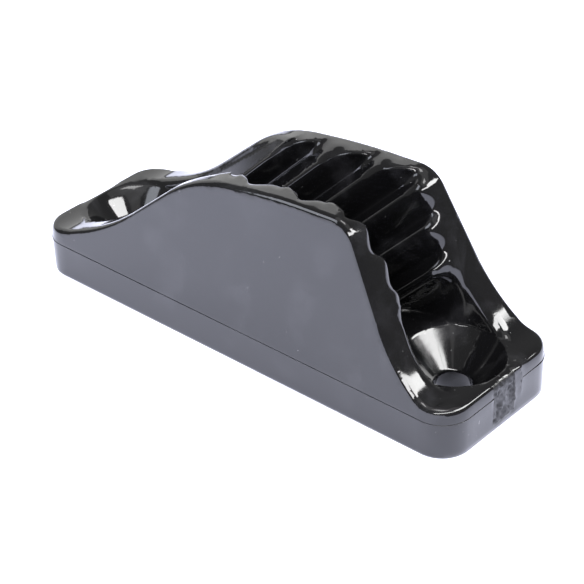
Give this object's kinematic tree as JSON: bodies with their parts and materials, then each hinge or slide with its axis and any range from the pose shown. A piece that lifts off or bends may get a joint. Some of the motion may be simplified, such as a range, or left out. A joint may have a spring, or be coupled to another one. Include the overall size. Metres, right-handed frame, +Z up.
{
  "type": "jam cleat",
  "caption": "Moulded jam cleat for rope, with toothed cheeks either side of a tapering groove and a countersunk screw hole at each end of its flat base.",
  "frame": {"origin": "middle of the flat underside, halfway between the two screw holes", "axes": "+X along the rope groove towards the steep front end, +Y across the groove, +Z up from the deck"},
  "size_m": [0.064, 0.0202, 0.0237],
  "materials": {
    "moulded_nylon": "glossy black injection-moulded nylon"
  },
  "bodies": {
    "root": {"cleat_body": "moulded_nylon"}
  },
  "joints": []
}
